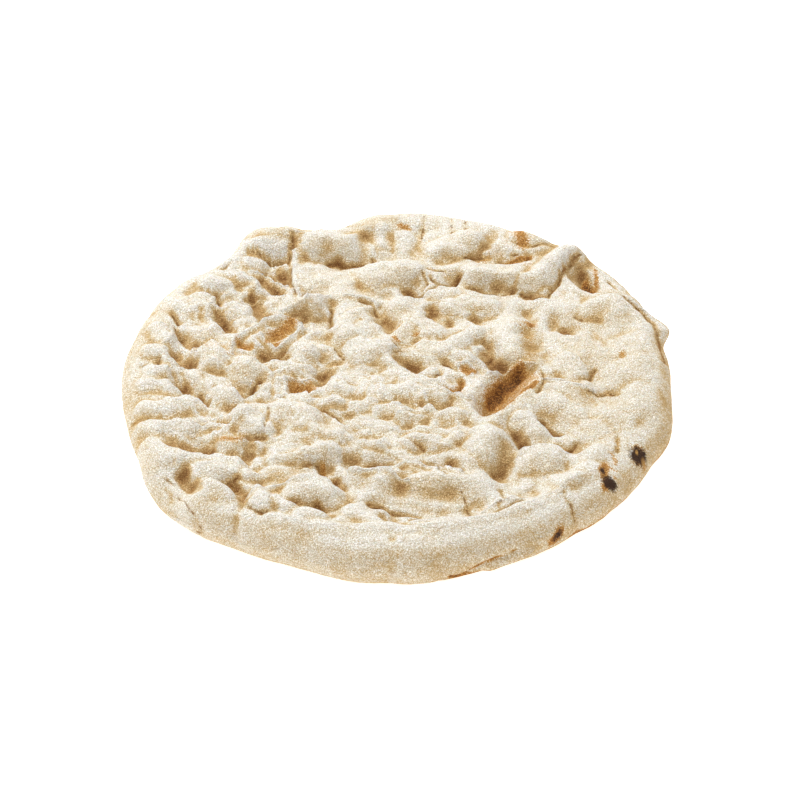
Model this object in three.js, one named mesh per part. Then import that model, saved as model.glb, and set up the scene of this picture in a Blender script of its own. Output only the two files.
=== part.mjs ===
// Pinsa base: one round, hand-stretched flatbread, floured, pressed with fingertips and blistered by heat.
// Millimetres, +Z up. The flat underside rests on z = 0, and the front of the bread faces -Y.
import * as THREE from "three";
import { mergeVertices } from "three/addons/utils/BufferGeometryUtils.js";

// Driving dimensions
const breadRadius = 138; // mean radius of the outline
const rimHeight = 22; // crest of the crust above the table
const doughHeight = 18; // dough inside the crust, before bubbles and dimples
const crestInset = 16; // from the outline in to the crest of the crust
const footInset = 36; // from the outline in to the foot of the crust
const wallBulge = 13; // how far the rounded wall stands out past the sole
const skinRadius = 122; // small bubbles and dents of the dough fade about this radius
const skinFade = 14; // over this distance to each side
const skinLoss = 0.6; // share of their height that is gone on the crust

// The surface starts as a cube of square cells. Most cells go to the top, where the relief is.
const cellsPerSide = 31;
const topShare = 0.69;
const wallShare = 0.23;

// Swells round the bread: direction in degrees from +X, half width in degrees, amount in mm.
// They shape the outline, the height of the crest, and the upright creases of the outer wall.
const outlineSwells = [
  { at: 5, spread: 6, amount: 1 },
  { at: 15, spread: 5, amount: 11 }, // torn tab of the lower layer
  { at: 37, spread: 22, amount: 6 },
  { at: 84, spread: 24, amount: 2 },
  { at: 109, spread: 12, amount: -11 }, // dip beside the back blister
  { at: 122, spread: 12, amount: 9 }, // back blister
  { at: 137, spread: 10, amount: -4 },
  { at: 152, spread: 16, amount: 3 },
  { at: 172, spread: 26, amount: 3 },
  { at: 222, spread: 30, amount: 7 },
  { at: 268, spread: 22, amount: 4 },
  { at: 341, spread: 14, amount: 3 },
];
const crestSwells = [
  { at: 75, spread: 40, amount: 1 },
  { at: 180, spread: 60, amount: -2 },
  { at: 270, spread: 60, amount: 2 },
];

const wallSwells = [
  { at: 205, spread: 6, amount: -2 },
  { at: 236, spread: 5, amount: -3 },
  { at: 268, spread: 4, amount: -3 },
  { at: 308, spread: 4, amount: -2 },
  { at: 335, spread: 6, amount: -2 },
];

// Bubbles that stand out, as domes along a short line: ends, half width, height
const bubbles = [
  { from: [-73, 107], to: [-63, 107], width: 17, height: 3 }, // back blister
  { from: [-44, 103], to: [-33, 103], width: 17, height: 3 },
  { from: [20, 98], to: [42, 105], width: 13, height: 2.5 },
  { from: [-10, 80], to: [0, 80], width: 15, height: 2 },
  { from: [-57, 51], to: [-42, 55], width: 9, height: 3 },
  { from: [-78, 26], to: [-63, 36], width: 14, height: 2.5 }, // sunken blister
  { from: [-99, 15], to: [-91, 8], width: 10, height: 2.5 },
  { from: [-79, 4], to: [-73, -4], width: 11, height: 2.5 },
  { from: [-86, -17], to: [-82, -22], width: 9, height: 2.5 },
  { from: [-76, -37], to: [-68, -44], width: 12, height: 3 },
  { from: [-55, -29], to: [-36, -36], width: 12, height: 2.5 },
  { from: [-48, -48], to: [-30, -54], width: 11, height: 2.5 },
  { from: [-37, -62], to: [-43, -67], width: 9, height: 2.5 },
  { from: [-42, -85], to: [-33, -90], width: 11, height: 3 },
  { from: [-63, -96], to: [-55, -99], width: 10, height: 2.5 },
  { from: [-90, -90], to: [-80, -94], width: 9, height: 2.5 },
  { from: [-18, -80], to: [-4, -84], width: 9, height: 2 },
  { from: [8, -80], to: [30, -84], width: 11, height: 2.5 },
  { from: [45, -50], to: [42, -64], width: 15, height: 3.5 },
  { from: [64, -62], to: [76, -66], width: 12, height: 2.5 },
  { from: [60, -36], to: [66, -40], width: 11, height: 3 },
  { from: [57, 38], to: [57, 10], width: 10, height: 3 }, // long ridge
  { from: [72, -4], to: [50, -38], width: 9, height: 3 }, // lip of the toasted pocket
  { from: [42, -6], to: [36, -30], width: 9, height: 2.5 },
  { from: [98, 44], to: [114, 40], width: 16, height: 2 },
  { from: [94, 12], to: [118, -4], width: 17, height: 2.5 },
  { from: [82, -18], to: [96, -40], width: 15, height: 2 },
  { from: [-14, 22], to: [-24, 30], width: 15, height: 2 },
  { from: [6, -22], to: [20, -28], width: 12, height: 2 },
];

// Finger dimples and hollows, pressed along a short line: ends, half width, depth
const dimples = [
  { from: [-11, 49], to: [-3, 41], width: 7, depth: 4 },
  { from: [-93, 46], to: [-87, 36], width: 7, depth: 4 },
  { from: [-118, 47], to: [-113, 38], width: 5, depth: 3 },
  { from: [-111, 31], to: [-101, 21], width: 7, depth: 4 },
  { from: [-114, 15], to: [-106, 6], width: 7, depth: 4 },
  { from: [-74, 57], to: [-68, 46], width: 8, depth: 3.5 },
  { from: [-68, 84], to: [-60, 70], width: 7, depth: 3.5 },
  { from: [-86, 96], to: [-62, 93], width: 6, depth: 3 },
  { from: [-83, 65], to: [-79, 60], width: 6, depth: 3 },
  { from: [-37, 52], to: [-38, 38], width: 6, depth: 3 },
  { from: [-70, 13], to: [-58, 13], width: 7, depth: 3.5 },
  { from: [-38, 10], to: [-39, -2], width: 7, depth: 3.5 },
  { from: [-52, -9], to: [-43, -14], width: 7, depth: 3 },
  { from: [-20, 108], to: [-17, 94], width: 7, depth: 3 },
  { from: [16, 50], to: [26, 44], width: 7, depth: 3 },
  { from: [38, 48], to: [44, 42], width: 7, depth: 3 },
  { from: [64, 50], to: [70, 45], width: 6, depth: 2 },
  { from: [70, 40], to: [66, 8], width: 7, depth: 2 },
  { from: [42, 19], to: [50, 5], width: 7, depth: 4.5 },
  { from: [0, 13], to: [9, 7], width: 7, depth: 4 },
  { from: [82, 39], to: [88, 33], width: 6, depth: 3 },
  { from: [3, 68], to: [10, 65], width: 6, depth: 3 },
  { from: [-110, -7], to: [-106, -15], width: 7, depth: 4 },
  { from: [-100, -17], to: [-95, -22], width: 6, depth: 3.5 },
  { from: [-110, -52], to: [-90, -58], width: 7, depth: 3.5 },
  { from: [-105, -78], to: [-98, -90], width: 6, depth: 5 },
  { from: [-94, -81], to: [-80, -84], width: 5, depth: 3 },
  { from: [-79, -88], to: [-72, -97], width: 7, depth: 4 },
  { from: [-74, -60], to: [-68, -62], width: 7, depth: 3 },
  { from: [-34, -74], to: [-29, -86], width: 6, depth: 3.5 },
  { from: [-24, -68], to: [-8, -71], width: 7, depth: 3.5 },
  { from: [-52, -98], to: [-32, -105], width: 6, depth: 3 },
  { from: [-10, -109], to: [0, -110], width: 5, depth: 3.5 },
  { from: [72, -38], to: [78, -46], width: 6, depth: 4 },
  { from: [58, -52], to: [60, -58], width: 6, depth: 3 },
  { from: [80, -56], to: [82, -61], width: 6, depth: 3 },
  { from: [52, -66], to: [48, -79], width: 9, depth: 4.5 },
  { from: [56, -91], to: [66, -92], width: 5, depth: 2 },
  { from: [18, -71], to: [27, -71], width: 6, depth: 3 },
  { from: [-2, -95], to: [35, -102], width: 12, depth: 3 }, // trough behind the front crust
  { from: [58, -2], to: [44, -30], width: 8, depth: 4 }, // toasted pocket
  { from: [95, 82], to: [101, 68], width: 8, depth: 4.5 }, // burst bubble
];

// Folds, as paths of corners. The ground to the left of a path stands higher by its step, with a rolled edge.
const folds = [
  // The back of the bread rolls over towards the front
  {
    path: [[12, 75], [22, 76], [31, 80], [36, 72], [60, 72], [69, 65], [84, 77], [94, 93]],
    step: 2,
    roll: 2.5,
    width: 7,
  },
  // Crease beside the back blister
  { path: [[-55, 122], [-58, 92], [-58, 60]], step: 2, roll: 1, width: 6 },
  // The top layer ends short of the outline, above a lower ledge
  { path: [[137, -8], [134, 22], [126, 47], [113, 57], [104, 64]], step: 4, roll: 1, width: 6 },
];

// Small bubbles and dents fill the dough between the ones above, scattered by a seeded draw:
// least spacing, length, and the range of half width and of height or depth
const fillSeed = 7;
const fillTries = 5000;
const bubbleFill = { spacing: 9, length: 6, width: [6, 10], height: [1, 2.4] };
const dentFill = { spacing: 12, length: 8, width: [4.5, 6.5], height: [1.2, 3] };

const clamp = THREE.MathUtils.clamp;
const smoothstep = THREE.MathUtils.smoothstep;
const degrees = THREE.MathUtils.radToDeg;

// 1 at the middle of a swell or press, and 0 from its edge on
function soft(share) {
  const t = Math.min(Math.abs(share), 1);
  return (1 - t * t) ** 2;
}

// A pressed hollow with a flat middle and steep sides
const hollowFloor = 0.15; // share of its half width that is flat
function hollow(share) {
  return 1 - smoothstep(share, hollowFloor, 1);
}

// Round top of a bubble, 1 at the middle and 0 at its edge
function dome(share) {
  return Math.sqrt(Math.max(1 - share * share, 0));
}

// Sum of swells at a direction in degrees
function swellAt(swells, direction) {
  let sum = 0;
  for (const { at, spread, amount } of swells) {
    const turn = THREE.MathUtils.euclideanModulo(direction - at + 180, 360) - 180;
    sum += amount * soft(turn / spread);
  }
  return sum;
}

function outlineRadius(direction) {
  return breadRadius + swellAt(outlineSwells, direction);
}

// Nearest distance from (x, y) to a path, positive on the left of its direction
function pathSide(path, x, y) {
  let nearest = Infinity;
  let side = 1;
  for (let i = 0; i + 1 < path.length; i++) {
    const [ax, ay] = path[i];
    const alongX = path[i + 1][0] - ax;
    const alongY = path[i + 1][1] - ay;
    const share = clamp(((x - ax) * alongX + (y - ay) * alongY) / (alongX ** 2 + alongY ** 2), 0, 1);
    const offX = x - ax - share * alongX;
    const offY = y - ay - share * alongY;
    const distance = Math.hypot(offX, offY);
    if (distance < nearest) {
      nearest = distance;
      side = alongX * offY - alongY * offX >= 0 ? 1 : -1;
    }
  }
  return side * nearest;
}

function lineDistance({ from, to }, x, y) {
  return Math.abs(pathSide([from, to], x, y));
}

// Seeded numbers from 0 to 1, by a multiplicative generator over a prime
const drawFactor = 16807;
const drawPrime = 2147483647;
let drawState = fillSeed;
function draw() {
  drawState = (drawState * drawFactor) % drawPrime;
  return drawState / drawPrime;
}

// Short lines in all directions, scattered over the top at least a spacing apart
function scatter({ spacing, length, width, height }) {
  const placed = [];
  for (let i = 0; i < fillTries; i++) {
    const radius = (skinRadius + skinFade) * Math.sqrt(draw());
    const angle = 2 * Math.PI * draw();
    const heading = 2 * Math.PI * draw();
    const from = [radius * Math.cos(angle), radius * Math.sin(angle)];
    const to = [from[0] + length * Math.cos(heading), from[1] + length * Math.sin(heading)];
    const size = draw();
    if (placed.every((other) => Math.hypot(other.from[0] - from[0], other.from[1] - from[1]) > spacing)) {
      placed.push({
        from,
        to,
        width: THREE.MathUtils.lerp(width[0], width[1], size),
        height: THREE.MathUtils.lerp(height[0], height[1], draw()),
      });
    }
  }
  return placed;
}

const smallBubbles = scatter(bubbleFill);
const smallDents = scatter(dentFill);

// A fold's height: low ground before it, a steep rise, a rolled edge, then higher ground that fades out
const foldReach = 5; // in widths of the rolled edge
function foldHeight({ path, step, roll, width }, x, y) {
  const side = pathSide(path, x, y);
  const rise = smoothstep(side, -width / 4, width / 4);
  const fade = soft(side / (foldReach * width));
  const edge = soft((side - width / 2) / width);
  return (step * (rise - 0.5) + roll * edge) * fade;
}

// Height of the top at (x, y)
function topHeight(x, y) {
  const radius = Math.hypot(x, y);
  const direction = degrees(Math.atan2(y, x));
  const inset = outlineRadius(direction) - radius;
  const crest = rimHeight + swellAt(crestSwells, direction);
  const climb = smoothstep(-inset, -footInset, -crestInset);
  const base = THREE.MathUtils.lerp(doughHeight, crest, climb);

  const skin = 1 - skinLoss * smoothstep(radius, skinRadius - skinFade, skinRadius + skinFade);
  let height = base;
  for (const bubble of bubbles) {
    height += bubble.height * soft(lineDistance(bubble, x, y) / bubble.width);
  }
  let small = 0;
  for (const bubble of smallBubbles) {
    small = Math.max(small, bubble.height * dome(lineDistance(bubble, x, y) / bubble.width));
  }
  for (const dent of smallDents) {
    small -= dent.height * hollow(lineDistance(dent, x, y) / dent.width);
  }
  height += skin * small;
  for (const dimple of dimples) {
    height -= dimple.depth * hollow(lineDistance(dimple, x, y) / dimple.width);
  }
  for (const fold of folds) {
    height += foldHeight(fold, x, y);
  }
  return height;
}

// Carries a point of the unit sphere to the bread: its share of the sphere's area, counted from the top,
// says whether it lies on the top, on the rounded wall or on the flat sole.
function breadPoint(onSphere) {
  const area = clamp((1 - onSphere.z) / 2, 0, 1);
  const angle = Math.atan2(onSphere.y, onSphere.x);
  const direction = degrees(angle);
  const outline = outlineRadius(direction);
  const inner = outline - wallBulge;
  const place = (radius, height) =>
    new THREE.Vector3(radius * Math.cos(angle), radius * Math.sin(angle), height);

  if (area <= topShare) {
    const top = place(inner * Math.sqrt(area / topShare), 0);
    top.z = topHeight(top.x, top.y);
    return top;
  }
  if (area < topShare + wallShare) {
    const lean = Math.PI * (0.5 - (area - topShare) / wallShare);
    const edge = place(inner, 0);
    const radius = inner + (wallBulge + swellAt(wallSwells, direction)) * Math.cos(lean);
    return place(radius, (topHeight(edge.x, edge.y) * (1 + Math.sin(lean))) / 2);
  }
  return place(inner * Math.sqrt((1 - area) / (1 - topShare - wallShare)), 0);
}

// The bread's closed surface, from a cube whose cells are evened out over a sphere
function breadGeometry() {
  const cube = new THREE.BoxGeometry(2, 2, 2, cellsPerSide, cellsPerSide, cellsPerSide);
  cube.deleteAttribute("normal");
  cube.deleteAttribute("uv");
  const surface = mergeVertices(cube);
  const position = surface.getAttribute("position");
  const even = (side) => Math.tan((side * Math.PI) / 4);
  for (let i = 0; i < position.count; i++) {
    const corner = new THREE.Vector3(position.getX(i), position.getY(i), position.getZ(i));
    corner.set(even(corner.x), even(corner.y), even(corner.z)).normalize();
    const { x, y, z } = breadPoint(corner);
    position.setXYZ(i, x, y, z);
  }
  surface.computeBoundingBox();
  const middle = surface.boundingBox.getCenter(new THREE.Vector3());
  surface.translate(-middle.x, -middle.y, 0);
  surface.computeVertexNormals();
  return surface;
}

const flouredDough = new THREE.MeshStandardMaterial({ color: 0xd9c9b0, roughness: 0.9, metalness: 0 });
const bread = new THREE.Mesh(breadGeometry(), flouredDough);
bread.name = "bread";

const pinsa = new THREE.Group();
pinsa.add(bread);

export default pinsa;
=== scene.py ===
import math

import bpy
import numpy as np
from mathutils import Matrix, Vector, noise


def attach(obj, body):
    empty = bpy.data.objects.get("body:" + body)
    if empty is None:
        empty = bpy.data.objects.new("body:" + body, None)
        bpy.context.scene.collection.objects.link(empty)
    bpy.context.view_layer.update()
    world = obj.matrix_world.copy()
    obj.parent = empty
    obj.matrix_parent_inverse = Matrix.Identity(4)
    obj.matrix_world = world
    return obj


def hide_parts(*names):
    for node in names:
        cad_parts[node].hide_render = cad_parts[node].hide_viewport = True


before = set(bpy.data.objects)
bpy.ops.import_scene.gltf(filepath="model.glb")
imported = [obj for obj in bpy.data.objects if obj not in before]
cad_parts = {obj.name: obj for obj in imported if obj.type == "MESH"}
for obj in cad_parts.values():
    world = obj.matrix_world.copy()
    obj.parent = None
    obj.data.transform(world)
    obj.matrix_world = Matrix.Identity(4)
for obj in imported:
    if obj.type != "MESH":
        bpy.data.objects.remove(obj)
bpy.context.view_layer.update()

mm = 0.001

# the view of the photo: a long lens, well above the table
viewSettings = {
    "elevation": 40.0,  # degrees above the table
    "distance": 1100 * mm,
    "aim": (0, -14 * mm, 12 * mm),
    "lens": 98.8,
    "sensor": 36.0,
}


def makeCamera(settings):
    tilt = math.radians(settings["elevation"])
    back = Vector((0, -math.cos(tilt), math.sin(tilt)))
    bpy.ops.object.camera_add(
        location=Vector(settings["aim"]) + settings["distance"] * back,
        rotation=(math.pi / 2 - tilt, 0, 0),
    )
    camera = bpy.context.object
    camera.name = "photoCamera"
    camera.data.lens = settings["lens"]
    camera.data.sensor_width = settings["sensor"]
    bpy.context.scene.camera = camera


breadSettings = {
    "name": "flouredBread",
    "seed": 1,  # of the noise that moves the edges of strokes
    "subdivisions": 2,
    "evenOut": 8,  # smoothing passes before the relief
    "soften": 1,  # smoothing passes after it
    "strokeReach": 10.0,  # mm of depth at full weight
    "pillowShare": 0.88,  # share of each stroke's height or depth that is pressed in
    "dimpleShare": 0.36,
    "ridgeShare": 0.75,
    "creaseShare": 0.6,
    "wander": 1.3,  # how far the edges of strokes wander, mm
    "wanderSize": 6.0,
    "topFrom": 6.0,  # strokes only touch skin above this height, mm
    "topFade": 4.0,
    "crustFrom": 108.0,  # where the upright crust begins, mm from the middle
    "crustFade": 14.0,
    "skinFrom": 120.0,  # small relief fades from here out to the crust, mm
    "skinFade": 14.0,
    "rimSkin": 0.6,
    "calmSkin": 0.3,  # share of the small relief where the skin isn't crumpled
    "cells": ((14, 0.8), (7, 0.4)),  # size and height of the rounded cells of the skin, mm
    "crests": ((13, 0.9), (7, 0.4)),  # size and height of its thin crests, mm
    "cellStretch": 1.4,  # how much wider than deep they are
    "cellWander": 4.0,
    "cellWanderSize": 14.0,
    "puckers": (6.0, 0.5),  # size and height of the noise of the skin, mm
    "wrinkles": (2.4, 0.3),
    "sharpen": 1.0,  # how much small crests and creases are deepened
    "sharpenPasses": 6,
    "lean": 0.9,  # how far crests lean back for each mm that they rise
    "leanPasses": 60,
    "settle": 0.3,  # share of one last smoothing pass
    "steepPasses": 4,  # more passes on steep faces of the top
    "steepFrom": 0.6,  # upward share of the normal under which a face is steep
    "steepFade": 0.3,
    "raiseReach": 4.0,  # mm above or below the evened skin at full weight
    "hollowPasses": 110,
    "hollowDepth": 2.2,  # mm under the evened skin that counts as a full hollow
    "midPasses": 30,
    "midDepth": 0.9,
    "finePasses": 4,
    "fineDepth": 0.18,
    "brownFrom": 2.0,  # depth from which a dimple is browner inside, from bare dough and painted shade, mm
    "brownFade": 4.0,
    "brownWidth": 8.0,  # wider dimples aren't
    "brownCrease": 3.0,  # depth of a crease that is brown throughout, from bare dough and painted shade, mm
    "lineReach": 9.0,  # thin lines are looked for this far away, mm
}

# strokes of the relief, in mm as seen from above: corners of the line, half width, depth or height
dimpleStrokes = [
    # back left
    ([(-96, 48), (-87, 34)], 5.5, 5),
    ([(-112, 31), (-102, 19)], 5.5, 5),
    ([(-114, 15), (-106, 6)], 5, 5),
    ([(-75, 58), (-69, 43)], 6, 5),
    ([(-72, 76), (-63, 65)], 5, 5),
    ([(-64, 88), (-61, 78)], 4, 5),
    ([(-81, 62), (-77, 65)], 3.5, 4),
    ([(-95, 64), (-83, 57)], 5, 3),
    ([(-112, 65), (-103, 75)], 4, 3),
    ([(-104, 50), (-103, 46)], 3, 3),
    ([(-72, 83), (-65, 79)], 4, 3),
    ([(-54, 117), (-47, 112)], 5, 3),
    # back
    ([(-6, 113), (-6, 107)], 4, 3),
    ([(4, 69), (8, 64)], 5, 5),
    ([(-12, 65), (-6, 64)], 5, 2.5),
    ([(-12, 48), (-4, 38)], 7.5, 6),
    ([(15, 54), (21, 44), (26, 41)], 4.5, 4),
    ([(38, 46), (42, 41)], 4.5, 4),
    ([(-20, 112), (-19, 95)], 5, 3),
    ([(10, 118), (8, 101)], 5, 2),
    ([(51, 115), (47, 103), (40, 95)], 4.5, 3),
    # right
    ([(66, 51), (70, 45)], 4, 3),
    ([(84, 36), (88, 31)], 4.5, 4),
    ([(98, 8), (106, 20), (118, 26)], 8, 1.5),
    ([(113, 9), (113, 7)], 3, 2),
    ([(44, 15), (52, 3)], 5.5, 7),
    ([(92, -22), (95, -35)], 6, 2.5),
    ([(70, -39), (77, -47)], 3.5, 6),
    # pocket with the toasted floor, and the burst bubble at the back
    ([(60, -4), (53, -14), (46, -25)], 13, 8),
    ([(97, 80), (101, 71)], 5, 7),
    # left
    ([(-116, 3), (-110, -4)], 3.5, 4),
    ([(-109, -8), (-106, -15)], 5, 6),
    ([(-101, -17), (-96, -23)], 4, 5),
    ([(-99, -28), (-92, -36), (-84, -38)], 4, 3),
    ([(-91, -43), (-89, -43)], 3.5, 3),
    ([(-71, 16), (-66, 11), (-58, 13)], 5, 2.2),
    ([(-72, 1), (-68, -9)], 5, 2.5),
    # sunken blister on the left, and the square cell
    ([(-66, 27), (-57, 35)], 5.5, 3),
    ([(-82, 21), (-77, 20)], 4, 4),
    ([(-53, -12), (-47, -12)], 5.5, 2.5),
    # middle
    ([(-40, -8), (-37, 1), (-33, 8)], 5.5, 5),
    ([(0, 11), (9, 6)], 6.5, 6),
    ([(20, 26), (25, 25)], 3, 2),
    ([(20, 2), (20, 0)], 3, 3),
    ([(34, 2), (35, 1)], 4, 2),
    ([(12, -27), (24, -27)], 5, 2.5),
    ([(31, -38), (36, -43)], 4, 3),
    # front left
    ([(-110, -55), (-98, -61), (-92, -58)], 6, 5),
    ([(-72, -57), (-74, -67)], 4.5, 4),
    ([(-104, -77), (-99, -86), (-96, -92)], 5, 8),
    ([(-78, -88), (-72, -97)], 5, 6),
    ([(-60, -78), (-46, -76)], 6, 3),
    ([(-38, -71), (-37, -74)], 3, 4),
    ([(-31, -80), (-28, -87)], 4, 5),
    ([(-50, -99), (-40, -102), (-33, -109)], 5, 4),
    # front
    ([(-16, -58), (-12, -53)], 5, 3),
    ([(-22, -73), (-14, -69), (-5, -72)], 5, 4),
    ([(1, -75), (6, -79), (0, -82)], 4, 3),
    ([(12, -69), (18, -73)], 4, 4),
    ([(24, -68), (28, -74)], 4.5, 4),
    ([(-12, -100), (10, -104), (30, -106)], 8, 4),
    ([(-9, -107), (-4, -112), (3, -112)], 3.5, 5),
    ([(52, -62), (48, -76)], 7, 3.5),
    ([(57, -48), (60, -56)], 4.5, 4),
    ([(57, -93), (64, -91)], 3.5, 3),
]

creaseStrokes = [
    # round the back blister and the swelling beside it
    ([(-81, 99), (-74, 96), (-67, 93), (-60, 95), (-58, 101), (-58, 110)], 3, 4),
    ([(-58, 101), (-59, 92), (-58, 80), (-57, 70), (-55, 64)], 2.5, 3),
    ([(-38, 92), (-28, 91), (-20, 92)], 3, 3),
    ([(-15, 97), (-12, 91)], 2.2, 3),
    ([(-53, 110), (-45, 111)], 2.2, 2),
    # under the rolled back of the dough
    ([(2, 64), (9, 64), (15, 68), (21, 72), (27, 73), (31, 78)], 3, 4),
    ([(12, 79), (15, 73), (12, 69)], 2, 2),
    ([(16, 78), (20, 72)], 2, 2.5),
    ([(36, 70), (44, 69), (53, 67), (62, 68)], 2.2, 1.5),
    ([(64, 66), (70, 62), (77, 63)], 3, 3.5),
    ([(77, 63), (82, 70), (86, 79), (91, 87), (97, 93)], 2, 5),
    # smaller lines at the back
    ([(61, 105), (66, 101), (73, 99), (81, 101)], 2.5, 2.5),
    ([(54, 91), (62, 90), (69, 92)], 2.2, 3),
    ([(60, 96), (69, 95)], 1.8, 2),
    ([(35, 94), (42, 95), (48, 95)], 2, 2),
    ([(15, 84), (24, 82)], 2, 2),
    ([(13, 130), (12, 112)], 3, 1.2),
    ([(28, 128), (28, 114)], 3, 1.2),
    ([(36, 126), (35, 113)], 3, 1.2),
    ([(-28, 124), (-22, 121)], 2.2, 2),
    ([(-105, 65), (-96, 62), (-94, 56)], 2.2, 3),
    ([(-119, 48), (-115, 41)], 2.5, 4),
    ([(-94, 83), (-90, 87)], 2, 2.5),
    ([(-36, 52), (-36, 38)], 2.5, 4),
    ([(-21, 59), (-15, 56), (-12, 51)], 1.8, 2),
    # top layer ending above the ledge on the right
    ([(103, 57), (110, 57), (116, 53), (122, 47), (127, 42), (131, 32), (133, 22), (134, 6)], 3, 4),
    ([(111, 74), (114, 68)], 2, 2.5),
    ([(91, 43), (96, 40), (104, 39)], 2.4, 1.2),
    ([(94, -18), (104, -18), (109, -20)], 2, 2.5),
    ([(81, -11), (90, -12)], 2.2, 2),
    ([(90, -8), (96, -6), (98, 0)], 2.2, 2),
    ([(105, -54), (104, -64)], 2, 2),
    ([(76, -58), (80, -61), (86, -56)], 2.5, 3),
    ([(71, -1), (72, -10), (68, -19)], 2.2, 2),
    # left
    ([(-116, 37), (-111, 29)], 2.5, 3),
    ([(-130, 2), (-124, 4), (-121, 8)], 2.2, 3),
    ([(-122, -9), (-115, -6)], 2, 2),
    ([(-131, -38), (-123, -38), (-113, -38)], 2, 3),
    ([(-98, -39), (-90, -38), (-83, -40)], 2.2, 2.5),
    ([(-92, -12), (-84, -14), (-77, -19), (-70, -9)], 2.4, 3),
    ([(-78, -52), (-66, -52)], 2.2, 2.5),
    ([(-65, -31), (-65, -46)], 2, 2),
    ([(-55, -18), (-43, -19)], 1.8, 2),
    # middle
    ([(-4, 23), (1, 18), (-3, 16)], 1.8, 2),
    ([(10, -2), (16, -6), (21, 0)], 2, 2.5),
    ([(22, 9), (26, 4), (29, 1)], 1.6, 2),
    ([(31, -5), (30, -12), (28, -18), (20, -16)], 2, 2.5),
    ([(0, -50), (6, -55), (11, -59)], 2, 2),
    ([(-45, -28), (-35, -31), (-27, -38)], 1.8, 1.6),
    ([(-33, 19), (-29, 12)], 2, 1.6),
    # front
    ([(-90, -85), (-84, -84), (-77, -80)], 2.4, 3),
    ([(-70, -105), (-65, -110), (-62, -109)], 2, 2.5),
    ([(-48, -73), (-40, -71)], 2, 2),
    ([(18, -76), (22, -82)], 2, 2),
    ([(-15, -98), (0, -103), (15, -107), (26, -109), (41, -109)], 2.4, 2.5),
    ([(5, -108), (15, -109), (24, -110), (34, -109), (43, -108), (50, -103), (57, -98)], 2.6, 4),
    ([(29, -92), (31, -100), (34, -106)], 1.6, 0.8),
    ([(47, -90), (49, -96), (46, -102)], 2, 2),
    ([(77, -95), (79, -100), (81, -106)], 1.6, 2.5),
    ([(-113, -78), (-107, -82)], 1.8, 1.2),
    ([(-105, -90), (-98, -103), (-93, -110)], 1.8, 0.8),
]

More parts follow.
